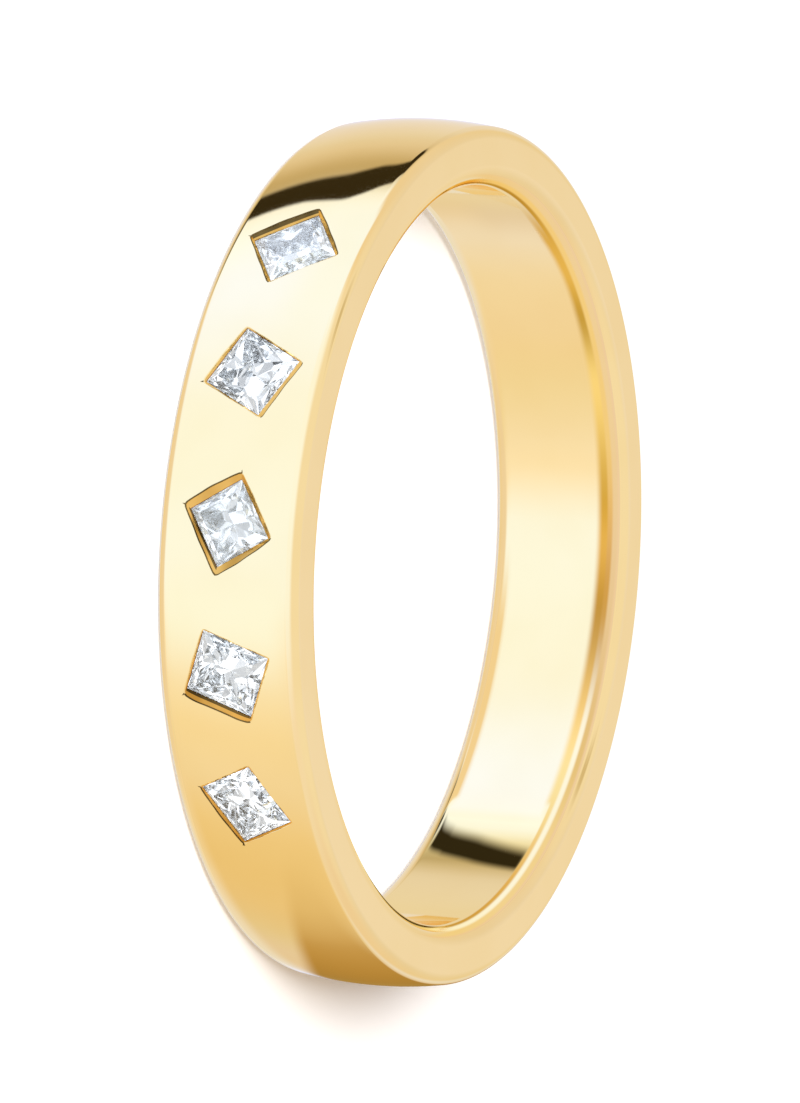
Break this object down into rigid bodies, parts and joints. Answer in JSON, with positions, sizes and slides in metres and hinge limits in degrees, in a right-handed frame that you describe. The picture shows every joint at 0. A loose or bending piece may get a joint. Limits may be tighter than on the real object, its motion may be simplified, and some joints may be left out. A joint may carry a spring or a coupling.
{
  "type": "wedding ring",
  "caption": "Slim gold wedding band with a softly domed outer face, comfort-rounded inner edges, and square-cut diamonds set flush in turned square pockets along one side.",
  "frame": {"origin": "middle of the side face that the ring lies on, on the ring's axis", "axes": "+Z along the ring's axis, up from the floor; -Y points out through the middle stone; +X runs along the row of stones, from stone_1 to stone_5"},
  "size_m": [0.02, 0.02, 0.0034],
  "materials": {
    "gold": "mirror-polished yellow gold",
    "diamond": "clear, polished flat facets"
  },
  "bodies": {
    "root": {"band": "gold", "stone_1": "diamond", "stone_2": "diamond", "stone_3": "diamond", "stone_4": "diamond", "stone_5": "diamond"}
  },
  "joints": []
}
